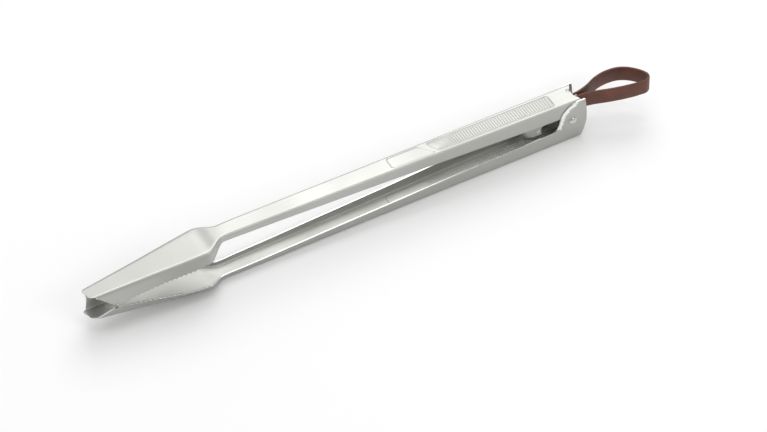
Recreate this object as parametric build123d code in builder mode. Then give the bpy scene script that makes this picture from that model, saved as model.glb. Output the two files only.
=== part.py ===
"""Spring loaded kitchen tongs: two long sheet-metal arms, a pivot at the handle end and a leather loop.

Frame: millimetres, +Z up.  The origin is on the face that the lower arm rests on, straight under the
pivot axis.  +X runs from the jaws to the leather loop.  The pivot axis is parallel to Y.
The tongs are drawn closed, lying on the lower arm.
"""
from build123d import *
from math import asin, atan, atan2, cos, degrees, hypot, radians, sin, sqrt
import os

os.makedirs("parts", exist_ok=True)

# ---------------------------------------------------------------- driving dimensions (mm)
TIP_REACH = 394.0          # pivot axis to the front of the jaws
REAR_REACH = 12.0          # pivot axis to the rear edge of the lower arm
SHEET = 1.2                # thickness of the stainless sheet
BEND = 0.8                 # the bend between web and flange, drawn as a slanted corner this wide

PIVOT_Z = 18.6             # pivot axis above the lower arm's outer face
WEDGE = 0.026              # how fast the closed arms spread apart towards the jaws, mm per mm

UPPER_REAR_HALF = 9.1      # half width of the upper arm at the handle end
UPPER_NECK_HALF = 6.6      # half width of the upper arm at the neck
SIDE_PLAY = 0.3            # gap on each side between the upper arm's flange and the lower arm's wall
NECK_SPREAD = 0.5          # how much wider the lower arm is on each side at the neck

NECK_BACK = 104.0          # tip to neck
HEEL_BACK = 92.0           # tip to the widest place of the jaw
JAW_HALF = 13.2            # half width of the jaw's back at the heel
TIP_HALF = 6.3             # half width of the jaw's back where its front rounding begins
TIP_SLANT = 6.5            # how far the near front corner stands back from the tip
TIP_CORNER = 2.6           # the same for the far front corner
JAW_SPLAY = 0.47           # outward lean of the jaw's flanges at the heel, mm per mm of height
TIP_SPLAY = 0.28           # the same at the tip
NECK_SPLAY = 0.12          # the same at the neck
JAW_RISE_HEEL = 2.6        # how far the jaw's back has turned in at the heel
JAW_RISE_TIP = 12.4        # how far the jaw's back has turned in at the tip

FLANGE_NECK = 5.0          # outer height of the flange at the neck
FLANGE_REAR = 13.6         # outer height of the flange just ahead of the housing
FLANGE_HEEL = 11.0         # height of the toothed edge at the heel
JAW_SAG = 1.2              # how far the toothed edge hangs back from a straight line, half way
BITE_BACK = 19.0           # tip to the first tooth, where the two arms meet
TOOTH_PITCH = 3.5
TOOTH_DEPTH = 1.1
BITE_GAP = 0.3             # clear height between the two first teeth when closed

PANEL_HALF = 5.9           # half width of the pressed panels
PANEL_DEPTH = 0.5
RIBBED_PANEL = (-14.0, -114.4)     # rear and front end of the ribbed panel
SMOOTH_PANEL = (-119.8, -150.5)    # rear and front end of the smooth panel
RIBBED_SLANT = 3.0         # how far the ribbed panel's front end leans
SMOOTH_SLANT = 5.5         # how far the smooth panel's rear end leans
PANEL_CORNER = 2.0

HOUSING_FOOT = -12.5       # where the lower arm's wall starts to rise, 3 mm above flange height
HOUSING_LEAN = -8.0        # front of the wall 6.5 mm below its top
HOUSING_TOP = 3.0          # front end of the wall's top edge
REAR_BULGE = 2.6           # how far the rear edge bows out past its corners

PLATE_REAR = 7.0           # rear corners of the upper plate
NOTCH_FLOOR = 3.6          # front of the notch for the strap in the plate's rear edge
NOTCH_HALF = 3.8           # half width of the notch floor
EAR_RADIUS = 9.5           # pivot ear of the upper arm's flanges

RIVET_RADIUS = 2.5
RIVET_CLEARANCE = 0.05
RIVET_HEAD = 3.6
RIVET_DOME = 1.6
SLEEVE_RADIUS = 3.3
WASHER_RADIUS = 4.4
WASHER_THICK = 0.5

WIRE = 1.5                 # spring wire diameter
SPRING_TURNS = 4
SPRING_BORE = 3.55         # inner radius of the coil
SPRING_LEG = 30.0          # length of each leg ahead of the pivot
LEG_SPLIT = 0.08           # hairline between the coil's solid and each leg's

SLIDE_TRAVEL = 6.5         # how far the lock slider pulls back
SLIDER_FRONT = -39.0       # nose of the slider, where its cheeks have turned in
NOSE_REAR = -30.0          # from here back the cheeks run straight
NOSE_HALF = 3.6            # half width of the nose
SLIDER_REAR = 9.0
SLIDER_HALF_HEIGHT = 5.4
SLIDER_SHEET = 1.0
SLIDER_PLAY = 0.6          # gap between slider cheek and the inside of the upper arm
WINDOW = (-25.5, -11.0)    # front and rear end of the window in each cheek
WINDOW_HALF_HEIGHT = 4.0
LOCK_PIN_X = -28.0
LOCK_PIN_RADIUS = 1.3
TONGUE = 1.6               # thickness of the tongue that the strap ends are riveted to
TONGUE_TOP_RISE = 14.0     # pivot axis to the tongue's top
TONGUE_FOOT_RISE = 6.8     # pivot axis to the tongue's lower edge, above the spring

STRAP_THICK = 1.8
STRAP_WIDTH = 13.4
STRAP_RISE = 1.3           # pivot axis to the strap's lower edge where it leaves the housing
STRAP_FLAT_END = 10.0      # the two layers lie side by side up to here
STRAP_REACH = 66.0         # pivot axis to the far end of the loop
STRAP_LIFT = 2.0           # degrees that the loop points upwards
STRAP_RIVET_X = 4.6        # rivet through the strap ends, behind the pivot axis
STRAP_RIVET_RISE = 10.6    # and above it
STRAP_RIVET_RADIUS = 1.4
STRAP_RIVET_HEAD = 2.7
STRAP_RIVET_DOME = 0.8

# ---------------------------------------------------------------- derived values
TIP_X = -TIP_REACH
NECK_X = TIP_X + NECK_BACK
HEEL_X = TIP_X + HEEL_BACK
LOWER_REAR_HALF = UPPER_REAR_HALF + SIDE_PLAY + SHEET
LOWER_NECK_HALF = UPPER_NECK_HALF + NECK_SPREAD
CLOSED_REAR = 2 * PIVOT_Z                       # closed height over the pivot
TILT = atan(WEDGE)                              # the upper arm's angle to the lower one
BITE_X = TIP_X + BITE_BACK
BITE_Z = (CLOSED_REAR - WEDGE * BITE_X) / 2 - BITE_GAP / 2      # height of the first tooth
LOFT_TOP = CLOSED_REAR + 4                      # height up to which the leaning sides are drawn
HOLE = RIVET_RADIUS + RIVET_CLEARANCE
WIDE = 3 * JAW_HALF                             # more than the half width anywhere
INNER_UPPER = UPPER_REAR_HALF - SHEET           # inside of the upper arm at the rear
TONGUE_TOP = PIVOT_Z + TONGUE_TOP_RISE
TONGUE_FOOT = PIVOT_Z + TONGUE_FOOT_RISE
STRAP_LOW = PIVOT_Z + STRAP_RISE
STRAP_RIVET = (STRAP_RIVET_X, PIVOT_Z + STRAP_RIVET_RISE)       # its x and z


def arm_half_width(x, rear_half, neck_half):
    """Half width of a tapering arm at x, between its rear end and its neck."""
    return rear_half + (neck_half - rear_half) * (REAR_REACH - x) / (REAR_REACH - NECK_X)


def plan_outline(rear_half, neck_half, inset, rear_x, height, far, corner=0):
    """Outline of an arm at one height, as a sketch on the XY plane, its sides drawn in by corner.

    The outer outline (inset 0) has a slanting front that reaches further on the far side, where the
    sketch's y has the sign of far.  The inner one runs on past the tip and leaves the jaw's front open.
    """
    jaw = JAW_HALF + JAW_SPLAY * (height - JAW_RISE_HEEL) - inset - corner
    tip = TIP_HALF + TIP_SPLAY * (height - JAW_RISE_TIP) - inset - corner
    rear = arm_half_width(rear_x, rear_half, neck_half) - inset - corner
    neck = neck_half + NECK_SPLAY * height - inset - corner
    front = TIP_X if inset == 0 else TIP_X - TIP_SLANT
    near_x, far_x = front + TIP_SLANT, front + TIP_CORNER
    with BuildSketch() as plan:
        with BuildLine():
            Line((rear_x, -far * rear), (NECK_X, -far * neck))
            Spline((NECK_X, -far * neck), (HEEL_X, -far * jaw), tangents=((-1, 0), (-1, far * 0.08)))
            Line((HEEL_X, -far * jaw), (near_x, -far * tip))
            Spline((near_x, -far * tip), (front + 0.2 * TIP_SLANT, 0), (front, far * 0.55 * tip),
                   (far_x, far * tip), tangents=((-1, far * 0.3), (1, far * 0.5)))
            Line((far_x, far * tip), (HEEL_X, far * jaw))
            Spline((HEEL_X, far * jaw), (NECK_X, far * neck), tangents=((1, -far * 0.08), (1, 0)))
            Line((NECK_X, far * neck), (rear_x, far * rear))
            Line((rear_x, far * rear), (rear_x, -far * rear))
        make_face()
    return plan.sketch


def back_line(offset, rear_x):
    """Points of an arm's back seen from the side, moved towards the flange edges by offset."""
    return [(rear_x, offset), (NECK_X + 8, offset), (HEEL_X, JAW_RISE_HEEL + offset),
            (TIP_X, JAW_RISE_TIP + offset)]


def toothed_edge(far):
    """Points of the jaw edge from the tip to the heel: a front, then a row of teeth.

    The near flange's front slants back to the first tooth.  The far flange stands up at the tip itself.
    """
    teeth = int((HEEL_X - BITE_X) / TOOTH_PITCH)
    if far:
        points = [(TIP_X, JAW_RISE_TIP + SHEET), (TIP_X + TIP_CORNER, BITE_Z - 2),
                  (TIP_X + 2 * TIP_CORNER, BITE_Z), (BITE_X, BITE_Z)]
    else:
        points = [(TIP_X, JAW_RISE_TIP + SHEET), (BITE_X - 5, BITE_Z - 3.4), (BITE_X - 2, BITE_Z - 0.6),
                  (BITE_X, BITE_Z)]
    for i in range(teeth):
        for share, drop in ((i + 0.4, TOOTH_DEPTH), (i + 1, 0)):
            along = share / teeth
            line = BITE_Z + (FLANGE_HEEL - BITE_Z) * along - 4 * JAW_SAG * along * (1 - along)
            points.append((BITE_X + (HEEL_X - BITE_X) * along, line - drop))
    return points


def dome_middle(radius, height):
    """Radius and height of the point halfway along a dome's arc, for a dome of that rim and height."""
    ball = (radius ** 2 + height ** 2) / (2 * height)
    half_angle = asin(radius / ball) / 2
    return ball * sin(half_angle), height - ball * (1 - cos(half_angle))


def panels():
    """Outlines of the two pressed panels on an arm's back, as a sketch on the XY plane."""
    with BuildSketch() as outlines:
        for rear, front, rear_lean, front_lean in (
                (*RIBBED_PANEL, 0, RIBBED_SLANT), (*SMOOTH_PANEL, SMOOTH_SLANT, 0)):
            with BuildLine():
                Polyline((rear + rear_lean, PANEL_HALF), (rear - rear_lean, -PANEL_HALF),
                         (front - front_lean, -PANEL_HALF), (front + front_lean, PANEL_HALF), close=True)
            make_face()
        fillet(outlines.vertices(), PANEL_CORNER)
    return outlines.sketch


# ---------------------------------------------------------------- lower arm
side = Plane.XZ            # local x along +X, local y along +Z, normal along -Y
REAR_EDGE_LOW = REAR_REACH - REAR_BULGE
WALL_TOP = CLOSED_REAR

with BuildPart() as lower_cavity:
    with BuildSketch(side):
        with BuildLine():
            Polyline(*back_line(SHEET, REAR_REACH + 5), (TIP_X - TIP_SLANT, JAW_RISE_TIP + SHEET),
                     (TIP_X - TIP_SLANT, 2 * CLOSED_REAR), (REAR_REACH + 5, 2 * CLOSED_REAR), close=True)
        make_face()
    extrude(amount=WIDE, both=True)
    for level in (0, LOFT_TOP):
        with BuildSketch(Plane.XY.offset(level)):
            add(plan_outline(LOWER_REAR_HALF, LOWER_NECK_HALF, SHEET, REAR_REACH + 4, level, 1))
    loft(ruled=True, mode=Mode.INTERSECT)

with BuildPart() as lower_arm:
    for far in (False, True):
        with BuildSketch(side):
            with BuildLine():
                Polyline(*back_line(0, REAR_EDGE_LOW), *toothed_edge(far), (NECK_X, FLANGE_NECK),
                         (HOUSING_FOOT - 3, FLANGE_REAR))
                Spline((HOUSING_FOOT - 3, FLANGE_REAR), (HOUSING_FOOT, FLANGE_REAR + 3),
                       (HOUSING_LEAN, WALL_TOP - 6.5), (HOUSING_TOP, WALL_TOP),
                       tangents=((1, 0), (1, 0.1)))
                Line((HOUSING_TOP, WALL_TOP), (REAR_REACH - 2, WALL_TOP))
                ThreePointArc((REAR_REACH - 2, WALL_TOP), (REAR_REACH, PIVOT_Z), (REAR_EDGE_LOW, 0))
            make_face()
        extrude(amount=-WIDE if far else WIDE)
    for level, corner in ((0, BEND), (BEND, 0), (LOFT_TOP, 0)):
        with BuildSketch(Plane.XY.offset(level)):
            add(plan_outline(LOWER_REAR_HALF, LOWER_NECK_HALF, 0, REAR_REACH + 1, level, 1, corner))
    loft(ruled=True, mode=Mode.INTERSECT)
    add(lower_cavity.part, mode=Mode.SUBTRACT)
    with BuildSketch(Plane.XY):
        add(panels())
    extrude(amount=PANEL_DEPTH, mode=Mode.SUBTRACT)
    with BuildSketch(side):
        with Locations((0, PIVOT_Z)):
            Circle(HOLE)
    extrude(amount=WIDE, both=True, mode=Mode.SUBTRACT)

# ---------------------------------------------------------------- upper arm
# It is the same pressing turned over about the pivot height, then tilted by the wedge angle.
up_x = (cos(TILT), 0, -sin(TILT))
up_z = (-sin(TILT), 0, -cos(TILT))
turned = Plane(origin=(PIVOT_Z * sin(TILT), 0, PIVOT_Z + PIVOT_Z * cos(TILT)), x_dir=up_x, z_dir=up_z)
turned_side = Plane(origin=turned.origin, x_dir=up_x, z_dir=(0, 1, 0))

with BuildPart() as upper_cavity:
    with BuildSketch(turned_side):
        with BuildLine():
            Polyline(*back_line(SHEET, REAR_REACH + 5), (TIP_X - TIP_SLANT, JAW_RISE_TIP + SHEET),
                     (TIP_X - TIP_SLANT, 2 * CLOSED_REAR), (REAR_REACH + 5, 2 * CLOSED_REAR), close=True)
        make_face()
    extrude(amount=WIDE, both=True)
    for level in (0, LOFT_TOP):
        with BuildSketch(turned.offset(level)):
            add(plan_outline(UPPER_REAR_HALF, UPPER_NECK_HALF, SHEET, REAR_REACH + 4, level, -1))
    loft(ruled=True, mode=Mode.INTERSECT)

ear_foot = -sqrt(EAR_RADIUS ** 2 - (PIVOT_Z - FLANGE_REAR) ** 2)   # where the ear meets the flange edge
with BuildPart() as upper_arm:
    for far in (False, True):
        with BuildSketch(turned_side):
            with BuildLine():
                Polyline(*back_line(0, PLATE_REAR), *toothed_edge(far), (NECK_X, FLANGE_NECK),
                         (ear_foot, FLANGE_REAR))
                ThreePointArc((ear_foot, FLANGE_REAR), (0, PIVOT_Z + EAR_RADIUS),
                              (PLATE_REAR, PIVOT_Z + sqrt(EAR_RADIUS ** 2 - PLATE_REAR ** 2)))
                Line((PLATE_REAR, PIVOT_Z + sqrt(EAR_RADIUS ** 2 - PLATE_REAR ** 2)), (PLATE_REAR, 0))
            make_face()
        extrude(amount=WIDE if far else -WIDE)
    for level, corner in ((0, BEND), (BEND, 0), (LOFT_TOP, 0)):
        with BuildSketch(turned.offset(level)):
            add(plan_outline(UPPER_REAR_HALF, UPPER_NECK_HALF, 0, REAR_REACH + 1, level, -1, corner))
    loft(ruled=True, mode=Mode.INTERSECT)
    add(upper_cavity.part, mode=Mode.SUBTRACT)
    with BuildSketch(turned):
        with BuildLine():
            Line((NOTCH_FLOOR, -NOTCH_HALF), (NOTCH_FLOOR, NOTCH_HALF))
            Spline((NOTCH_FLOOR, NOTCH_HALF), (PLATE_REAR + 1, INNER_UPPER + SHEET),
                   tangents=((0.6, 1), (0.3, 1)))
            Line((PLATE_REAR + 1, INNER_UPPER + SHEET), (PLATE_REAR + 1, -INNER_UPPER - SHEET))
            Spline((PLATE_REAR + 1, -INNER_UPPER - SHEET), (NOTCH_FLOOR, -NOTCH_HALF),
                   tangents=((-0.3, 1), (-0.6, 1)))
        make_face()
    extrude(amount=2 * SHEET, mode=Mode.SUBTRACT)
    with BuildSketch(turned):
        add(panels())
    extrude(amount=PANEL_DEPTH, mode=Mode.SUBTRACT)
    with BuildSketch(turned_side):
        with Locations((0, PIVOT_Z)):
            Circle(HOLE)
    extrude(amount=WIDE, both=True, mode=Mode.SUBTRACT)

# ---------------------------------------------------------------- pivot
seat_top = PIVOT_Z + WASHER_RADIUS
WALL_OUT = arm_half_width(WASHER_RADIUS, LOWER_REAR_HALF, LOWER_NECK_HALF + NECK_SPLAY * seat_top) + 0.02
SHANK_NEAR = WALL_OUT
SHANK_FAR = WALL_OUT + WASHER_THICK + 0.02

with BuildPart() as pivot_rivet:
    with BuildSketch(Plane.YZ):                # local x along +Y, local y along +Z
        mid_r, mid_h = dome_middle(RIVET_HEAD, RIVET_DOME)
        with BuildLine():
            ThreePointArc((-SHANK_NEAR - RIVET_DOME, PIVOT_Z), (-SHANK_NEAR - mid_h, PIVOT_Z + mid_r),
                          (-SHANK_NEAR, PIVOT_Z + RIVET_HEAD))
            Polyline((-SHANK_NEAR, PIVOT_Z + RIVET_HEAD), (-SHANK_NEAR, PIVOT_Z + RIVET_RADIUS),
                     (SHANK_FAR, PIVOT_Z + RIVET_RADIUS), (SHANK_FAR, PIVOT_Z + RIVET_HEAD))
            ThreePointArc((SHANK_FAR, PIVOT_Z + RIVET_HEAD), (SHANK_FAR + mid_h, PIVOT_Z + mid_r),
                          (SHANK_FAR + RIVET_DOME, PIVOT_Z))
            Line((SHANK_FAR + RIVET_DOME, PIVOT_Z), (-SHANK_NEAR - RIVET_DOME, PIVOT_Z))
        make_face()
    revolve(axis=Axis((0, 0, PIVOT_Z), (0, 1, 0)))

washer_plane = Plane(origin=(0, WALL_OUT, PIVOT_Z), x_dir=(1, 0, 0), z_dir=(0, 1, 0))
with BuildPart() as pivot_washer:
    with BuildSketch(washer_plane):
        Circle(WASHER_RADIUS)
        Circle(HOLE, mode=Mode.SUBTRACT)
    extrude(amount=WASHER_THICK)

pivot_plane = Plane(origin=(0, 0, PIVOT_Z), x_dir=(1, 0, 0), z_dir=(0, 1, 0))
SLEEVE_HALF = INNER_UPPER - SIDE_PLAY
with BuildPart() as spring_sleeve:
    with BuildSketch(pivot_plane):
        Circle(SLEEVE_RADIUS)
        Circle(HOLE, mode=Mode.SUBTRACT)
    extrude(amount=SLEEVE_HALF, both=True)

# ---------------------------------------------------------------- torsion spring
# One leg leaves the top of the coil and lies under the upper web, the other lies on the lower web.
COIL_RADIUS = SPRING_BORE + WIRE / 2
WIRE_PITCH = WIRE + 0.1
leg_height = PIVOT_Z - SHEET - WIRE / 2 - 0.05
leg_angle = atan2(leg_height, SPRING_LEG) - asin(COIL_RADIUS / hypot(leg_height, SPRING_LEG))
COIL_ANGLE = 360 * SPRING_TURNS + 180 - 2 * degrees(leg_angle)
COIL_LENGTH = WIRE_PITCH * COIL_ANGLE / 360
LEG_LENGTH = SPRING_LEG / cos(leg_angle)
pivot_axis = Axis((0, 0, PIVOT_Z), (0, 1, 0))

with BuildPart() as torsion_spring:
    with BuildLine() as coil_path:
        coil = Helix(WIRE_PITCH, COIL_LENGTH, COIL_RADIUS, center=(0, -COIL_LENGTH / 2, PIVOT_Z),
                     direction=(0, 1, 0), mode=Mode.PRIVATE)
        first = coil @ 0
        add(coil.rotate(pivot_axis, degrees(leg_angle - atan2(first.X, first.Z - PIVOT_Z))))
    with BuildSketch(Plane(origin=coil_path.line @ 0, z_dir=coil_path.line % 0)):
        Circle(WIRE / 2)
    sweep(path=coil_path.line, is_frenet=True)
    for end, up in ((0, 1), (1, -1)):
        leg_start = Plane(origin=coil_path.line @ end, z_dir=(-cos(leg_angle), 0, up * sin(leg_angle)))
        with BuildSketch(leg_start.offset(LEG_SPLIT)):
            Circle(WIRE / 2)
        extrude(amount=LEG_LENGTH - LEG_SPLIT)

# ---------------------------------------------------------------- lock slider
CHEEK_OUT = INNER_UPPER - SLIDER_PLAY
CHEEK_IN = CHEEK_OUT - SLIDER_SHEET
SLOT_HALF = SLEEVE_RADIUS + 0.08
BRIDGE_TOP = STRAP_LOW - 0.6
with BuildPart() as lock_slider:
    for hand in (-1, 1):
        cheek = hand * (CHEEK_OUT + CHEEK_IN) / 2
        with BuildSketch(Plane.XY.offset(PIVOT_Z - SLIDER_HALF_HEIGHT)):
            with BuildLine():
                Spline((SLIDER_FRONT, hand * NOSE_HALF), (NOSE_REAR, cheek),
                       tangents=((1, hand * 0.9), (1, 0)))
                Line((NOSE_REAR, cheek), (SLIDER_REAR, cheek))
            trace(line_width=SLIDER_SHEET)
        extrude(amount=2 * SLIDER_HALF_HEIGHT)
    with BuildSketch(pivot_plane):
        with Locations(((WINDOW[0] + WINDOW[1]) / 2, 0)):
            RectangleRounded(WINDOW[1] - WINDOW[0], 2 * WINDOW_HALF_HEIGHT, 2.0)
        with Locations((-SLIDE_TRAVEL / 2, 0)):
            Rectangle(SLIDE_TRAVEL, 2 * SLOT_HALF)
        with Locations((0, 0), (-SLIDE_TRAVEL, 0)):
            Circle(SLOT_HALF)
        with Locations((LOCK_PIN_X, 0)):
            Circle(LOCK_PIN_RADIUS + RIVET_CLEARANCE)
    extrude(amount=2 * CHEEK_OUT, both=True, mode=Mode.SUBTRACT)
    with BuildSketch(Plane.XY.offset(PIVOT_Z - SLIDER_HALF_HEIGHT + 0.6)):
        with Locations((SLIDER_REAR - SLIDER_SHEET / 2, 0)):
            Rectangle(SLIDER_SHEET, 2 * CHEEK_OUT - 0.2)
    extrude(amount=BRIDGE_TOP - (PIVOT_Z - SLIDER_HALF_HEIGHT + 0.6))
    with BuildSketch(pivot_plane):
        with BuildLine():
            Polyline((SLIDER_REAR, PIVOT_Z - BRIDGE_TOP), (SLIDER_REAR, PIVOT_Z - TONGUE_TOP),
                     (STRAP_RIVET[0] - 3.4, PIVOT_Z - TONGUE_TOP),
                     (STRAP_RIVET[0] - 3.4, PIVOT_Z - TONGUE_FOOT),
                     (SLIDER_REAR - 2.2, PIVOT_Z - TONGUE_FOOT),
                     (SLIDER_REAR - 2.2, PIVOT_Z - BRIDGE_TOP + 2), (SLIDER_REAR, PIVOT_Z - BRIDGE_TOP + 2),
                     close=True)
        make_face()
    extrude(amount=TONGUE / 2, both=True)
    with BuildSketch(pivot_plane):
        with Locations((STRAP_RIVET[0], PIVOT_Z - STRAP_RIVET[1])):
            Circle(STRAP_RIVET_RADIUS + RIVET_CLEARANCE)
    extrude(amount=TONGUE, both=True, mode=Mode.SUBTRACT)

with BuildPart() as lock_pin:
    with BuildSketch(pivot_plane):
        with Locations((LOCK_PIN_X, 0)):
            Circle(LOCK_PIN_RADIUS)
    extrude(amount=CHEEK_OUT, both=True)

# ---------------------------------------------------------------- leather strap
# A flat strap standing on edge: both ends lie against the tongue, the middle opens into a loop.
layer = TONGUE / 2 + 0.02 + STRAP_THICK / 2        # centre of a layer from the middle plane
strap_start = STRAP_RIVET[0] - 3.4
lift = radians(STRAP_LIFT)
strap_plane = Plane(origin=(STRAP_RIVET[0], 0, STRAP_LOW), x_dir=(cos(lift), 0, sin(lift)),
                    z_dir=(-sin(lift), 0, cos(lift)))
bow = STRAP_REACH - STRAP_RIVET[0] - STRAP_THICK / 2   # loop centreline's reach past the rivet
near_run, far_run = STRAP_FLAT_END - STRAP_RIVET[0], strap_start - STRAP_RIVET[0]

with BuildPart() as strap:
    with BuildSketch(strap_plane):
        with BuildLine():
            Line((far_run, -layer), (near_run, -layer))
            Spline((near_run, -layer), (0.47 * bow, -8.2), (0.84 * bow, -13.6), (0.985 * bow, -12.4),
                   (0.975 * bow, -5.2), (0.83 * bow, 4.6), (0.63 * bow, 8.8), (0.42 * bow, 7.6),
                   (near_run, layer), tangents=((1, -0.05), (-1, -0.1)))
            Line((near_run, layer), (far_run, layer))
        trace(line_width=STRAP_THICK)
    extrude(amount=STRAP_WIDTH)
    with BuildSketch(Plane.XY.offset(STRAP_LOW - 2)):
        with Locations((strap_start, 0)):
            Rectangle(2 * (SLIDER_REAR - 2.2 - strap_start), 4 * layer)
    extrude(amount=TONGUE_FOOT - 0.6 - STRAP_LOW + 2, mode=Mode.SUBTRACT)
    with BuildSketch(pivot_plane):
        with Locations((STRAP_RIVET[0], PIVOT_Z - STRAP_RIVET[1])):
            Circle(STRAP_RIVET_RADIUS + RIVET_CLEARANCE)
    extrude(amount=2 * layer, both=True, mode=Mode.SUBTRACT)

strap_stack = layer + STRAP_THICK / 2 + 0.02
rivet_x, rivet_z = STRAP_RIVET
with BuildPart() as strap_rivet:
    with BuildSketch(Plane.YZ.offset(rivet_x)):
        mid_r, mid_h = dome_middle(STRAP_RIVET_HEAD, STRAP_RIVET_DOME)
        with BuildLine():
            ThreePointArc((strap_stack + STRAP_RIVET_DOME, rivet_z), (strap_stack + mid_h, rivet_z + mid_r),
                          (strap_stack, rivet_z + STRAP_RIVET_HEAD))
            Polyline((strap_stack, rivet_z + STRAP_RIVET_HEAD), (strap_stack, rivet_z + STRAP_RIVET_RADIUS),
                     (-strap_stack, rivet_z + STRAP_RIVET_RADIUS), (-strap_stack, rivet_z + STRAP_RIVET_HEAD))
            ThreePointArc((-strap_stack, rivet_z + STRAP_RIVET_HEAD),
                          (-strap_stack - mid_h, rivet_z + mid_r),
                          (-strap_stack - STRAP_RIVET_DOME, rivet_z))
            Line((-strap_stack - STRAP_RIVET_DOME, rivet_z), (strap_stack + STRAP_RIVET_DOME, rivet_z))
        make_face()
    revolve(axis=Axis((rivet_x, 0, rivet_z), (0, 1, 0)))

for name, piece in (("lower_arm", lower_arm), ("upper_arm", upper_arm), ("pivot_rivet", pivot_rivet),
                    ("pivot_washer", pivot_washer), ("spring_sleeve", spring_sleeve),
                    ("torsion_spring", torsion_spring), ("lock_slider", lock_slider),
                    ("lock_pin", lock_pin), ("strap", strap), ("strap_rivet", strap_rivet)):
    piece.part.label = name
    export_step(piece.part, f"parts/{name}.step")
    print(name, round(piece.part.volume, 1), len(piece.part.solids()))
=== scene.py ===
"""Spring loaded kitchen tongs: two pressed stainless arms on a rear pivot, a pull lock and a leather loop.

Sections follow the assembly: the lower arm, the upper arm, the pivot, the spring, the lock, the loop, and
then the studio.  Sizes in the sections are millimetres, with x from the jaws to the loop and z up, as in
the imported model.  Meshes are made in metres.
"""
import bmesh
import bpy
import numpy as np
from math import asin, atan, atan2, cos, hypot, pi, radians, sin
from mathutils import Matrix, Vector


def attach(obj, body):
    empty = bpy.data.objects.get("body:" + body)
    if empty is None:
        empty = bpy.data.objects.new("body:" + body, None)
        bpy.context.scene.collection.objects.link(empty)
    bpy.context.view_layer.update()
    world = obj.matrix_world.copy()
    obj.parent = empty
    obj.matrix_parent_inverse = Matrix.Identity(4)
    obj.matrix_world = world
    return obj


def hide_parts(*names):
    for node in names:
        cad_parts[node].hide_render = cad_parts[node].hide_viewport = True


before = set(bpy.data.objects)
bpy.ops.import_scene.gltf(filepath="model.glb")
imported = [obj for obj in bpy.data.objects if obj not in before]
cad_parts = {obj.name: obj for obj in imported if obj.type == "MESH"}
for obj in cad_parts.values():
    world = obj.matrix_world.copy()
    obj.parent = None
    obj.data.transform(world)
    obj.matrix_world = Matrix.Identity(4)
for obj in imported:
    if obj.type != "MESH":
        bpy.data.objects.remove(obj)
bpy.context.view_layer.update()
MM = 0.001

# ---------------------------------------------------------------- lower arm
# The lower half of the tongs: one strip of 1.2 mm stainless sheet, pressed into a channel with a scoop at
# the front and two tall walls at the rear that house the pivot.  Its long faces are brushed lengthwise.
SHEET = 1.2                                   # sheet thickness
TIP, BITE, HEEL, NECK = -394.0, -375.0, -302.0, -290.0    # tip, first tooth, widest place, neck
PIVOT = 18.6                                  # pivot axis above the resting face
JAW_HALF, TIP_HALF = 13.2, 6.3
TIP_SLANT, TIP_CORNER = 6.5, 2.6             # how far the near and the far front corner stand back
BITE_HEIGHT = 23.32                           # edge height at the first tooth
TOOTH_PITCH, TOOTH_DEPTH = 3.5, 1.1
RIB_PITCH, RIB_HALF = 2.1, 4.7                # cross ribs of the grip panel
PANEL_HALF, PANEL_DEPTH = 5.9, 0.4
STEEL_LIGHT, STEEL_DARK = "#BCBCB8", "#B2B2AE"


def linear(code, alpha=1.0):
    """A '#RRGGBB' sRGB colour as linear RGBA."""
    channels = [int(code[i:i + 2], 16) / 255 for i in (1, 3, 5)]
    return [c / 12.92 if c <= 0.04045 else ((c + 0.055) / 1.055) ** 2.4 for c in channels] + [alpha]


def add(tree, kind, inputs, **settings):
    """Adds a node with its settings, and sets each named input or links another node's output to it."""
    node = tree.nodes.new("ShaderNode" + kind)
    for setting, value in settings.items():
        setattr(node, setting, value)
    for socket, value in inputs.items():
        if isinstance(value, bpy.types.NodeSocket):
            tree.links.new(value, node.inputs[socket])
        else:
            node.inputs[socket].default_value = value
    return node


def new_material(name):
    """An empty node material: (material, its tree, its output node)."""
    material = bpy.data.materials.new(name)
    material.use_nodes = True
    material.node_tree.nodes.clear()
    return material, material.node_tree, add(material.node_tree, "OutputMaterial", {})


def metal(name, light, dark, grain_mm, rough_low, rough_high, bump_mm):
    """A metal whose tone, roughness and fine grain vary over grain_mm, a grain size along x, y and z."""
    material, tree, output = new_material(name)
    place = add(tree, "TexCoord", {}).outputs["Object"]
    scale = [1 / (g * MM) for g in grain_mm]
    scaled = add(tree, "Mapping", {"Vector": place, "Scale": scale}).outputs["Vector"]
    grain = add(tree, "TexNoise", {"Vector": scaled, "Scale": 1.0, "Detail": 3.0,
                                   "Roughness": 0.6}).outputs["Fac"]
    patch = add(tree, "TexNoise", {"Vector": place, "Scale": 22.0, "Detail": 2.0}).outputs["Fac"]
    tone = add(tree, "Mix", {0: patch, 6: linear(light), 7: linear(dark)}, data_type="RGBA").outputs[2]
    mixed = add(tree, "Math", {0: grain, 1: patch}, operation="ADD").outputs[0]
    rough = add(tree, "MapRange", {"Value": mixed, "From Min": 0.6, "From Max": 1.4, "To Min": rough_low,
                                   "To Max": rough_high}).outputs[0]
    bump = add(tree, "Bump", {"Height": grain, "Strength": 0.35, "Distance": bump_mm * MM}).outputs["Normal"]
    shader = add(tree, "BsdfPrincipled", {"Base Color": tone, "Metallic": 1.0, "Roughness": rough,
                                          "Normal": bump})
    tree.links.new(shader.outputs["BSDF"], output.inputs["Surface"])
    return material


def through(points, at):
    """A smooth curve through (place, value) points, read at the places in at."""
    place, value = np.array(points, float).T
    slope = np.gradient(value, place)
    k = np.clip(np.searchsorted(place, at) - 1, 0, len(place) - 2)
    gap = place[k + 1] - place[k]
    t = np.clip((at - place[k]) / gap, 0, 1)
    return ((1 + 2 * t) * (1 - t) ** 2 * value[k] + t * (1 - t) ** 2 * gap * slope[k]
            + t * t * (3 - 2 * t) * value[k + 1] + t * t * (t - 1) * gap * slope[k + 1])


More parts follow.
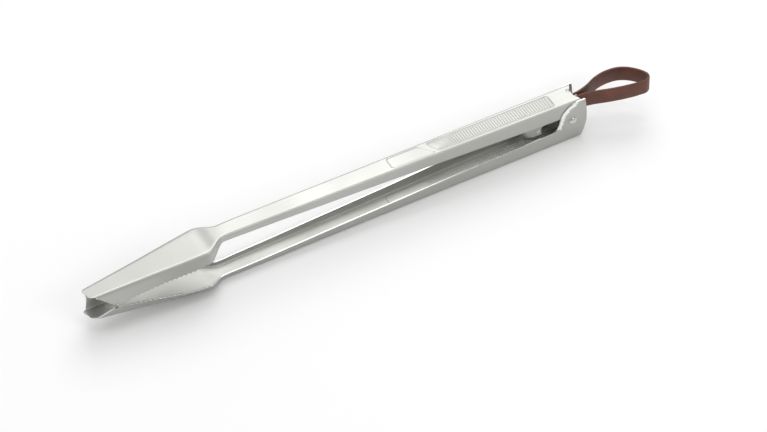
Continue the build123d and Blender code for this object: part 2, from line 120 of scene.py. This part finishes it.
def ease(low, high, at):
    """0 below low, 1 above high, and a smooth step between."""
    t = np.clip((at - low) / (high - low), 0, 1)
    return t * t * (3 - 2 * t)


def half_width(x, rear_half, neck_half):
    """Half width of the back: a slow taper to the neck, an S out to the heel, a straight taper to the tip."""
    handle = rear_half + (neck_half - rear_half) * (12 - x) / (12 - NECK)
    jaw = JAW_HALF + (TIP_HALF - JAW_HALF) * (HEEL - x) / (HEEL - TIP - TIP_SLANT)
    return handle + (jaw - handle) * ease(-287.5, -304.5, x)


def jaw_edge(x):
    """Height of the jaw's edge without its teeth: level ahead of the first tooth, then down to the heel."""
    along = np.maximum((x - BITE) / (HEEL - BITE), 0)
    return BITE_HEIGHT + (11.0 - BITE_HEIGHT) * along - 4.8 * np.clip(along * (1 - along), 0, 1)


def teeth(x):
    """Depth of the gullets between the pressed teeth."""
    wave = np.abs(np.sin(pi * (x - BITE) / TOOTH_PITCH)) ** 0.8
    return TOOTH_DEPTH * wave * ease(BITE - 0.1, BITE + 0.1, x) * ease(HEEL + 1.0, HEEL - 3.0, x)


def rounded_box(x, y, x_low, x_high, half, corner):
    """Signed distance to a rounded rectangle that is centred on y 0, negative inside."""
    dx = np.abs(x - (x_low + x_high) / 2) - (x_high - x_low) / 2 + corner
    dy = np.abs(y) - half + corner
    return np.hypot(np.maximum(dx, 0), np.maximum(dy, 0)) + np.minimum(np.maximum(dx, dy), 0) - corner


def relief(x, y, scale, dimpled):
    """How far the back is pressed in at x, y: two panels, the ribs that stand up in one, and any dimple."""
    across = y / scale
    grip = rounded_box(x - 0.51 * y * ease(-90, -112, x), across, -114.4, -14.0, PANEL_HALF, 2.0)
    smooth = rounded_box(x - 0.93 * y * ease(-140, -122, x), across, -150.5, -119.8, PANEL_HALF, 2.0)
    sunk = PANEL_DEPTH * ease(0.32, -0.32, np.minimum(grip, smooth))
    rib = np.abs((x + 15.6 - 0.51 * y * ease(-90, -112, x)) / RIB_PITCH % 1 - 0.5) * RIB_PITCH
    end = np.maximum(np.abs(across) - RIB_HALF, 0)
    raised = 0.3 * ease(0.8, 0.42, np.hypot(rib, end * 0.8)) * ease(-0.5, -1.1, grip)
    dimple = 0.55 * dimpled * ease(1.9, 0.4, np.hypot(x - 2.1, y + 3.0))
    return sunk - raised - dimple


WEB_ROWS = [0, 1.2, 2.4, 3.4, 4.0, 4.3, 4.5, 4.7, 4.9, 5.1, 5.35, 5.6, 5.8, 5.95, 6.1, 6.3]
FLANGE_ROWS = [0, .12, .24, .37, .5, .61, .71, .79, .85, .9, .94, .97, 1]
BEND_ROWS = [.17, .33, .5, .67, .83]
FRONT_FROM = -372.0                           # ahead of here the rows stretch to their own front ends


def pressing(rear_half, neck_half, far, edge, rear_of_web, rear_of_flange, rear_x, rear_from, coin):
    """Corner points and faces of a pressed channel with its back on z 0, as (N, 3) mm and index lists.

    Rows run along x.  Each has its own front and rear end, so the grid follows the slanting tip, the
    front of the jaw and the shaped rear.  far is the sign of y on the side whose front reaches further.
    coin is how far the outer face is drawn in at x, z.
    """
    stations = np.concatenate([
        np.linspace(TIP, BITE, 28, endpoint=False), np.arange(BITE, HEEL - 1, TOOTH_PITCH / 6),
        np.linspace(HEEL, NECK + 8, 26, endpoint=False), np.linspace(NECK + 8, -154, 26, endpoint=False),
        np.arange(-154, -112, 0.5), np.arange(-112, -13, RIB_PITCH / 8),
        np.linspace(-12.9, rear_x, round((rear_x + 12.9) / 0.42))])
    half = ([("flange", s) for s in FLANGE_ROWS[::-1]] + [("bend", s) for s in BEND_ROWS[::-1]]
            + [("web", "edge"), ("web", "between")] + [("web", y) for y in WEB_ROWS[::-1]])
    rows = [(kind, s, -1) for kind, s in half] + [(kind, s, 1) for kind, s in half[-2::-1]]
    plain, shaped = [], []
    for kind, share, side in rows:
        x = stations.copy()
        for _ in range(3):                    # the ends depend on where the row lies, so they settle in turns
            wide = half_width(x, rear_half, neck_half)
            rise = through([(TIP - 9, 13.3), (TIP, 12.4), (-350, 7.75), (-308, 3.2), (HEEL, 2.5), (-294, 1.0),
                            (NECK + 4, 0.15), (NECK + 12, 0), (-200, 0), (20, 0)], x)
            rise = np.maximum(rise, 0)
            lean = through([(TIP - 9, .27), (TIP, .28), (-350, .38), (HEEL, .47), (NECK, .14), (-270, .1),
                            (0, 0), (20, 0)], x)
            bend = through([(TIP - 9, 2.4), (TIP, 2.5), (HEEL, 3.0), (NECK, 2.7), (-150, 2.0), (-20, 1.5),
                            (20, 1.5)], x)
            turn = pi / 2 - np.arctan(lean)
            run = bend * np.tan(turn / 2)     # from the sharp corner back to where the bend starts
            scale = np.minimum(through([(TIP - 9, .9), (-151, .905), (-14, 1), (20, 1)], x),
                               0.95 * (wide - run) / 6.3)
            if kind == "flange":
                foot = rise + run * np.cos(np.arctan(lean))
                z = foot + share * (edge(x, side == far) - foot) - teeth(x) * share ** 6
                y = wide + lean * (z - rise)
                foot_x, slant = (TIP_CORNER, 2.6) if side == far else (TIP_SLANT, BITE - TIP - TIP_SLANT)
                front = TIP + foot_x + slant * share ** 0.9
                z = z - 1.6 * share ** 6 * np.exp(-((x - front) / 1.5) ** 2)
                if side == far:               # the lean lifts the inner edge, so the level part stands lower
                    z = z - 0.5 * share ** 6 * ease(BITE + 2, BITE - 1, x)
                rear = rear_of_flange(z[-1])
            else:
                if kind == "bend":
                    y = wide - run + bend * np.sin(share * turn)
                    z = rise + bend * (1 - np.cos(share * turn))
                else:
                    edge_y = wide - run
                    between = (edge_y + WEB_ROWS[-1] * scale) / 2
                    y = edge_y if share == "edge" else between if share == "between" else share * scale
                    z = rise
                place = far * side * float(y[0] / wide[0])
                front = TIP + float(through([(-1, TIP_SLANT), (-0.8, 4.0), (0, 1.3), (0.55, 0.1), (0.85, 0.7),
                                             (1, TIP_CORNER)], np.array([place]))[0])
                rear = rear_of_web(abs(y[-1]))
            x = stations.copy()
            ahead, behind = x < FRONT_FROM, x > rear_from
            x[ahead] = FRONT_FROM - (FRONT_FROM - x[ahead]) * (FRONT_FROM - front) / (FRONT_FROM - TIP)
            x[behind] = rear_from + (x[behind] - rear_from) * (rear - rear_from) / (rear_x - rear_from)
        plain.append(np.stack([x, side * y, z], 1))
        lowered = relief(x, side * y, scale, far < 0) if kind == "web" else 0
        drawn = coin(x, z) if kind == "flange" else 0
        shaped.append((lowered + 0 * x, drawn + 0 * x))
    grid = np.array(plain)
    along, across = np.gradient(grid, axis=1), np.gradient(grid, axis=0)
    normal = np.cross(across, along)
    normal /= np.linalg.norm(normal, axis=2, keepdims=True)
    middle = len(rows) // 2
    if normal[middle, 10, 2] < 0:
        normal = -normal
    lowered = np.array([s[0] for s in shaped])[..., None]
    drawn = np.array([s[1] for s in shaped])[..., None]
    outer = grid + normal * drawn + np.array([0, 0, 1]) * lowered
    inner = grid + normal * SHEET + np.array([0, 0, 1]) * lowered
    points = np.concatenate([outer.reshape(-1, 3), inner.reshape(-1, 3)])
    r, n = grid.shape[:2]
    number = np.arange(r * n).reshape(r, n)
    quad = np.stack([number[:-1, :-1], number[1:, :-1], number[1:, 1:], number[:-1, 1:]], -1).reshape(-1, 4)
    loop = np.concatenate([number[0, :], number[1:, -1], number[-1, -2::-1], number[-2:0:-1, 0]])
    after = np.roll(loop, -1)
    rim = np.stack([loop, after, after + r * n, loop + r * n], -1)
    return points, np.concatenate([quad, quad[:, ::-1] + r * n, rim])


def mesh_piece(name, points, faces, material, sharp=40):
    """A smooth-shaded object of those points, in mm, and faces, with its face directions made consistent."""
    mesh = bpy.data.meshes.new(name)
    mesh.from_pydata([tuple(p) for p in np.asarray(points) * MM], [], [list(map(int, f)) for f in faces])
    made = bpy.data.objects.new(name, mesh)
    bpy.context.scene.collection.objects.link(made)
    mesh.materials.append(material)
    work = bmesh.new()
    work.from_mesh(mesh)
    bmesh.ops.recalc_face_normals(work, faces=work.faces)
    work.to_mesh(mesh)
    work.free()
    mesh.shade_smooth()
    mesh.set_sharp_from_angle(angle=radians(sharp))
    return made


def broken_edge(piece, width_mm):
    """Breaks the sheet's cut edges as a tumbling drum does."""
    bevel = piece.modifiers.new("broken edge", "BEVEL")
    bevel.width, bevel.segments = width_mm * MM, 1
    bevel.limit_method, bevel.angle_limit = "ANGLE", radians(55)
    bevel.use_clamp_overlap = False


def sheet_sides(piece, cut, inside):
    """Gives the sheet's cut edges and its inner face their own materials, in slots 1 and 2."""
    piece.data.materials.append(cut)
    piece.data.materials.append(inside)
    half = len(piece.data.vertices) // 2      # the outer face's points come first
    # Slot 1, the cut edges, carries a near-white painted highlight. Slot 2, the inner face, is painted
    # lighter to lift the shaded inside.
    for face in piece.data.polygons:
        low, high = min(face.vertices), max(face.vertices)
        face.material_index = 0 if high < half else 1 if low < half else 2


def handle_edge(x):
    """Height of the channel's flange from the heel back to the housing."""
    straight = through([(NECK - 12, 5), (NECK, 5), (-275, 5.2), (-200, 7.5), (-145, 9.2), (-80, 11.7),
                        (-20, 13.5), (20, 13.8)], x)
    front = jaw_edge(np.minimum(x, HEEL + 3))
    return front + (straight - front) * ease(HEEL - 1, NECK + 2, x)


WALL_FRONT = [(-30, 13.5), (-20, 13.6), (-15.2, 14.2), (-12.6, 16.6), (-11.4, 20), (-10.2, 25.7), (-7, 31),
              (-3, 34.8), (0.4, 36.4), (3, 37.2), (9, 37.2), (20, 37.2)]


def lower_edge(x, beyond):
    """The lower arm's edge: the flange, then the S up to the top of the housing, lower on the far side."""
    return np.where(x < -20, handle_edge(x), np.minimum(through(WALL_FRONT, x), 35.9 if beyond else 38))


def coined_lip(x, z):
    """The S edge of the housing is hammered thin, so it meets the upper arm's flange in a slope."""
    places = np.linspace(-14, 3, 120)
    heights = through(WALL_FRONT, places)
    away = np.min(np.hypot(x[:, None] - places, z[:, None] - heights), axis=1)
    return 1.1 * (1 - np.clip(away / 3.6, 0, 1)) ** 1.5 * ease(-14, -11.5, x) * ease(4.5, -1, x)


def housing_rear(z):
    """x of the housing's rear edge, which bows out and rounds in to the back."""
    return float(through([(0, 7.8), (1.5, 8.5), (4, 9.5), (9.4, 10.9), (14, 11.9), (19, 12), (27, 11.4),
                          (37.2, 9.9)], np.array([min(max(z, 0), 37.2)]))[0])


steel = metal("stainless_brushed_lengthwise", STEEL_LIGHT, STEEL_DARK, (40, 0.5, 0.5), 0.36, 0.47, 0.012)
points, faces = pressing(10.6, 7.1, 1, lower_edge, lambda y: housing_rear(0), housing_rear, 12.0, -13,
                         coined_lip)
lower = mesh_piece("lower_arm_pressing", points, faces, steel)
# Near-white metal on the cut edges and the hammered lip: a painted highlight, brighter than real stainless,
# for the glint along them.
edge_painted_highlight = metal("stainless_edge_painted_highlight", "#F2F2F0", "#E9E9E6", (3, 3, 3), 0.24, 0.34, 0.01)
# The inner faces are painted lighter than the outer steel, painted light that lifts the shaded inside of the
# channel. Their rougher matt finish is real.
inside_painted_lighter = metal("stainless_matt_inside_painted_lighter", "#CDCDC9", "#C2C2BE", (6, 1, 1), 0.48, 0.6, 0.015)
sheet_sides(lower, edge_painted_highlight, inside_painted_lighter)
# The faces of the hammered S lip also take the near-white material, a painted highlight along the lip.
centres = np.array([face.center for face in lower.data.polygons]) / MM
rear = np.flatnonzero((centres[:, 0] > -14) & (centres[:, 2] > 15) & (np.abs(centres[:, 1]) > 9.6))
for number in rear[coined_lip(centres[rear, 0], centres[rear, 2]) > 0.05]:
    lower.data.polygons[int(number)].material_index = 1
broken_edge(lower, 0.22)
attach(lower, "lower_body")
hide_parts("lower_arm")

# ---------------------------------------------------------------- upper arm
# The same pressing turned over, a little narrower so that its flanges swing between the lower arm's walls.
# Each flange ends in a round ear at the pivot, and the plate is notched at the rear for the loop.
WEDGE = 0.026                                 # the closed arms spread apart this fast towards the jaws
EAR = 9.5


def upper_edge(x, beyond):
    """The upper arm's edge: the flange, then the round ear over the pivot."""
    ear = PIVOT + np.sqrt(np.maximum(EAR ** 2 - x ** 2, 0))
    return np.where(x < -EAR, handle_edge(np.minimum(x, 0)), ear)


def notched_rear(y):
    """x of the plate's rear edge: a shallow notch in the middle, with the corners standing back."""
    return 3.7 + 3.2 * max((y - 3.8) / 5.3, 0) ** 0.6


points, faces = pressing(9.1, 6.6, -1, upper_edge, notched_rear, lambda z: 7.0, 7.0, -9, lambda x, z: 0)
tilt = atan(WEDGE)
turned = np.array([[cos(tilt), 0, -sin(tilt)], [0, -1, 0], [-sin(tilt), 0, -cos(tilt)]])
points = points @ turned + [PIVOT * sin(tilt), 0, PIVOT + PIVOT * cos(tilt)]
upper = mesh_piece("upper_arm_pressing", points, faces, steel)
sheet_sides(upper, edge_painted_highlight, inside_painted_lighter)
broken_edge(upper, 0.22)
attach(upper, "upper_body")
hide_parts("upper_arm")

# ---------------------------------------------------------------- pivot
# A solid stainless rivet goes through both arms, with a washer under its far head and a nylon sleeve
# between the flanges that carries the spring.  Its domed heads are burnished by the setting tool.
burnished = metal("stainless_burnished_by_riveting", "#D2D0CB", "#C2BFB8", (0.5, 0.5, 0.5), 0.14, 0.26, 0.02)
nylon, tree, output = new_material("nylon_natural_moulded")
place = add(tree, "TexCoord", {}).outputs["Object"]
cloud = add(tree, "TexNoise", {"Vector": place, "Scale": 300.0, "Detail": 2.0}).outputs["Fac"]
tone = add(tree, "Mix", {0: cloud, 6: linear("#E6E2D6"), 7: linear("#D8D3C4")}, data_type="RGBA").outputs[2]
shader = add(tree, "BsdfPrincipled", {"Base Color": tone, "Roughness": 0.45, "IOR": 1.53,
                                      "Subsurface Weight": 0.1, "Subsurface Radius": (0.002, 0.002, 0.001)})
tree.links.new(shader.outputs["BSDF"], output.inputs["Surface"])


def finish_node(name, material):
    """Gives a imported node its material."""
    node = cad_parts[name]
    if not node.material_slots:
        node.data.materials.append(material)
    for used in node.material_slots:
        used.material = material


for name in ("pivot_rivet", "pivot_washer"):
    finish_node(name, burnished)
finish_node("spring_sleeve", nylon)

# ---------------------------------------------------------------- torsion spring
# Four turns of drawn spring wire on the sleeve.  One leg lies in the lower arm and one under the upper
# arm's plate, so the coil stays with the lower arm and the upper leg swings with the upper one.
WIRE, TURNS, BORE, LEG = 1.5, 4, 3.55, 30.0
wire_steel = metal("spring_wire_drawn", "#8E8F92", "#7A7B7E", (30, 0.4, 0.4), 0.22, 0.34, 0.01)
coil_radius = BORE + WIRE / 2
leg_height = PIVOT - SHEET - WIRE / 2 - 0.05
leg_angle = atan2(leg_height, LEG) - asin(coil_radius / hypot(leg_height, LEG))
coil_turn = 2 * pi * TURNS + pi - 2 * leg_angle


def tube(path, radius, sides=14):
    """Points and faces of a closed round tube along a path of mm points."""
    path = np.array(path, float)
    ahead = np.gradient(path, axis=0)
    ahead /= np.linalg.norm(ahead, axis=1, keepdims=True)
    side = np.cross(ahead[0], (0, 1, 0.1))
    points = []
    for place, forward in zip(path, ahead):
        side = side - forward * (side @ forward)
        side /= np.linalg.norm(side)
        up = np.cross(forward, side)
        for k in range(sides):
            a = 2 * pi * k / sides
            points.append(place + radius * (cos(a) * side + sin(a) * up))
    faces = [[i * sides + k, i * sides + (k + 1) % sides, (i + 1) * sides + (k + 1) % sides,
              (i + 1) * sides + k] for i in range(len(path) - 1) for k in range(sides)]
    return points, faces + [list(range(sides)), [len(points) - 1 - k for k in range(sides)]]


steps = np.linspace(0, coil_turn, 44 * TURNS)
width = (WIRE + 0.1) * coil_turn / (2 * pi)
coil = [(coil_radius * sin(a - leg_angle), -width / 2 + width * a / coil_turn,
         PIVOT + coil_radius * cos(a - leg_angle)) for a in steps]
leg_run = np.array([-cos(leg_angle), 0, -sin(leg_angle)])
lower_leg = [np.array(coil[-1]) + leg_run * s for s in np.linspace(0.4, LEG / cos(leg_angle), 30)]
points, faces = tube(coil + lower_leg, WIRE / 2)
spring = mesh_piece("spring_coil", points, faces, wire_steel, sharp=60)
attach(spring, "lower_body")
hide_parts("torsion_spring")
leg_run = np.array([-cos(leg_angle), 0, sin(leg_angle)])
upper_leg = [np.array(coil[0]) + leg_run * s for s in np.linspace(0, LEG / cos(leg_angle), 30)]
points, faces = tube(upper_leg, WIRE / 2)
leg = mesh_piece("spring_upper_leg", points, faces, wire_steel, sharp=60)
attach(leg, "upper_body")
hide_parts("torsion_spring")

# ---------------------------------------------------------------- pull lock
# A U of satin stainless sheet slides along the sleeve inside the arms.  Its cross pin holds the upper arm
# shut until the loop pulls the slider back.
satin = metal("stainless_sheet_satin", "#A9A9A5", "#9E9E99", (12, 0.5, 0.5), 0.4, 0.5, 0.012)
finish_node("lock_slider", satin)
finish_node("lock_pin", burnished)

# ---------------------------------------------------------------- leather loop
# One strip of brown vegetable-tanned leather, 13.4 by 1.8 mm, standing on edge with both ends riveted to the
# slider.  The faces are smooth and waxed, with fine creases along the strip, and the cut edges are duller.
STRAP_THICK, STRAP_WIDTH, STRAP_LOW = 1.8, 13.4, 19.9
STRAP_X, STRAP_REACH, STRAP_FLAT, STRAP_START = 4.6, 66.0, 10.0, 1.2
layer = 0.8 + 0.02 + STRAP_THICK / 2
bow = STRAP_REACH - STRAP_X - STRAP_THICK / 2


def leather(name, light, dark, streak_mm, rough):
    """Leather whose tone drifts between light and dark, with fine creases along the strip and pores."""
    material, tree, output = new_material(name)
    place = add(tree, "TexCoord", {}).outputs["Object"]
    drift = add(tree, "TexNoise", {"Vector": place, "Scale": 55.0, "Detail": 3.0}).outputs["Fac"]
    scale = [1 / (s * MM) for s in streak_mm]
    scaled = add(tree, "Mapping", {"Vector": place, "Scale": scale}).outputs["Vector"]
    crease = add(tree, "TexNoise", {"Vector": scaled, "Scale": 1.0, "Detail": 4.0,
                                    "Roughness": 0.65}).outputs["Fac"]
    pores = add(tree, "TexVoronoi", {"Vector": place, "Scale": 1 / (0.7 * MM)}).outputs["Distance"]
    both = add(tree, "Math", {0: drift, 1: crease}, operation="ADD").outputs[0]
    share = add(tree, "MapRange", {"Value": both, "From Min": 0.75, "From Max": 1.25}).outputs[0]
    tone = add(tree, "Mix", {0: share, 6: linear(dark), 7: linear(light)}, data_type="RGBA").outputs[2]
    height = add(tree, "Math", {0: crease, 1: pores}, operation="ADD").outputs[0]
    bump = add(tree, "Bump", {"Height": height, "Strength": 0.5, "Distance": 0.12 * MM}).outputs["Normal"]
    glow = add(tree, "MapRange", {"Value": crease, "To Min": rough - 0.08, "To Max": rough + 0.1}).outputs[0]
    shader = add(tree, "BsdfPrincipled", {"Base Color": tone, "Roughness": glow, "IOR": 1.45, "Normal": bump})
    tree.links.new(shader.outputs["BSDF"], output.inputs["Surface"])
    return material


hide = leather("leather_brown_waxed", "#74402B", "#502C20", (14, 14, 0.6), 0.46)
cut = leather("leather_cut_edge_burnished", "#6E4535", "#523226", (6, 6, 0.5), 0.6)
knots = [(STRAP_START - STRAP_X, -layer), (0, -layer), (STRAP_FLAT - STRAP_X, -layer - 0.02),
         (0.25 * bow, -layer - 2.0), (0.47 * bow, -8.2), (0.68 * bow, -11.8), (0.84 * bow, -13.6),
         (0.945 * bow, -13.9), (0.99 * bow, -12.0),
         (1.0 * bow, -8.8), (0.975 * bow, -5.2), (0.91 * bow, 0.2), (0.83 * bow, 4.6), (0.73 * bow, 7.7),
         (0.63 * bow, 8.8), (0.52 * bow, 8.8), (0.42 * bow, 7.6), (0.25 * bow, layer + 1.9),
         (STRAP_FLAT - STRAP_X, layer + 0.02), (0, layer), (STRAP_START - STRAP_X, layer)]
knots = np.array(knots)
reach = np.concatenate([[0], np.cumsum(np.hypot(*np.diff(knots, axis=0).T))])
even = np.linspace(0, reach[-1], 190)
line = np.stack([through(np.stack([reach, knots[:, k]], 1), even) for k in (0, 1)], 1)
way = np.gradient(line, axis=0)
way /= np.linalg.norm(way, axis=1, keepdims=True)
out = np.stack([way[:, 1], -way[:, 0]], 1)
profile = []                                  # (across the thickness, up the width), rounded at its corners
for corner_x, corner_z, turn in ((1, 0, -90), (1, 1, 0), (-1, 1, 90), (-1, 0, 180)):
    for a in np.radians(turn + np.array([0, 30, 60, 90])):
        profile.append((corner_x * (STRAP_THICK / 2 - 0.5) + 0.5 * cos(a),
                        (STRAP_WIDTH - 0.5 if corner_z else 0.5) + 0.5 * sin(a)))
sides = len(profile)
lift = radians(2)
NOTCH_END, NOTCH_TOP = 6.8, 24.8              # the strip is cut away below here, to clear the spring
points = []
for centre, aside in zip(line, out):
    for px, pz in profile:
        plan = centre + aside * px
        if pz < 1 and STRAP_X + centre[0] < NOTCH_END:
            pz += NOTCH_TOP - STRAP_LOW
        points.append((STRAP_X + plan[0] * cos(lift) - pz * sin(lift), plan[1],
                       STRAP_LOW + plan[0] * sin(lift) + pz * cos(lift)))
faces = [[i * sides + k, i * sides + (k + 1) % sides, (i + 1) * sides + (k + 1) % sides, (i + 1) * sides + k]
         for i in range(len(line) - 1) for k in range(sides)]
faces += [list(range(sides)), [len(points) - 1 - k for k in range(sides)]]
loop = mesh_piece("leather_loop", points, faces, hide, sharp=70)
loop.data.materials.append(cut)
for face in loop.data.polygons:
    if abs(face.normal.z) > 0.6 or len(face.vertices) > 4:
        face.material_index = 1
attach(loop, "lock_body")
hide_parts("strap")
finish_node("strap_rivet", burnished)

# ---------------------------------------------------------------- studio
# A pale sweep of matt paper under soft overhead light.  The camera looks down over the jaws' left side.
paper, tree, output = new_material("paper_sweep_matt")
place = add(tree, "TexCoord", {}).outputs["Object"]
fibre = add(tree, "TexNoise", {"Vector": place, "Scale": 900.0, "Detail": 2.0}).outputs["Fac"]
tone = add(tree, "Mix", {0: fibre, 6: linear("#FBFBFB"), 7: linear("#F8F8F8")}, data_type="RGBA").outputs[2]
shader = add(tree, "BsdfPrincipled", {"Base Color": tone, "Roughness": 0.9, "Specular IOR Level": 0.1})
tree.links.new(shader.outputs["BSDF"], output.inputs["Surface"])
reach, below = 4.0, -0.0002
floor = bpy.data.meshes.new("floor")
floor.from_pydata([(-reach, -reach, below), (reach, -reach, below), (reach, reach, below),
                   (-reach, reach, below)], [], [(0, 1, 2, 3)])
floor.materials.append(paper)
floor = bpy.data.objects.new("floor", floor)
bpy.context.scene.collection.objects.link(floor)

world = bpy.data.worlds.new("studio")
bpy.context.scene.world = world
world.use_nodes = True
world.node_tree.nodes["Background"].inputs["Color"].default_value = (1, 1, 1, 1)
world.node_tree.nodes["Background"].inputs["Strength"].default_value = 0.61


def softbox(name, place, aim, size, power, tint=(1, 1, 1)):
    """A square soft light at place that faces aim."""
    light = bpy.data.lights.new(name, "AREA")
    light.shape, light.size, light.energy, light.color = "SQUARE", size, power, tint
    made = bpy.data.objects.new(name, light)
    bpy.context.scene.collection.objects.link(made)
    made.location = place
    made.rotation_mode = "QUATERNION"
    made.rotation_quaternion = (Vector(aim) - Vector(place)).to_track_quat("-Z", "Y")


softbox("overhead_rear", (0.95, 1.6, 2.2), (-0.19, 0, 0.02), 2.0, 27)
softbox("overhead", (-0.1, 0.1, 2.4), (-0.19, 0, 0.02), 1.1, 12)
softbox("front_right", (0.9, -2.0, 1.9), (-0.19, 0, 0.02), 0.9, 8)

camera = bpy.data.objects.new("camera", bpy.data.cameras.new("camera"))
bpy.context.scene.collection.objects.link(camera)
camera.data.sensor_width, camera.data.lens = 36, 150.2
camera.data.clip_start, camera.data.clip_end = 0.1, 20
camera.location = (-0.932, -1.374, 1.711)
camera.rotation_euler = (radians(90 - 47.5), 0, radians(-29.5))
bpy.context.scene.camera = camera
bpy.context.scene.view_settings.view_transform = "Standard"
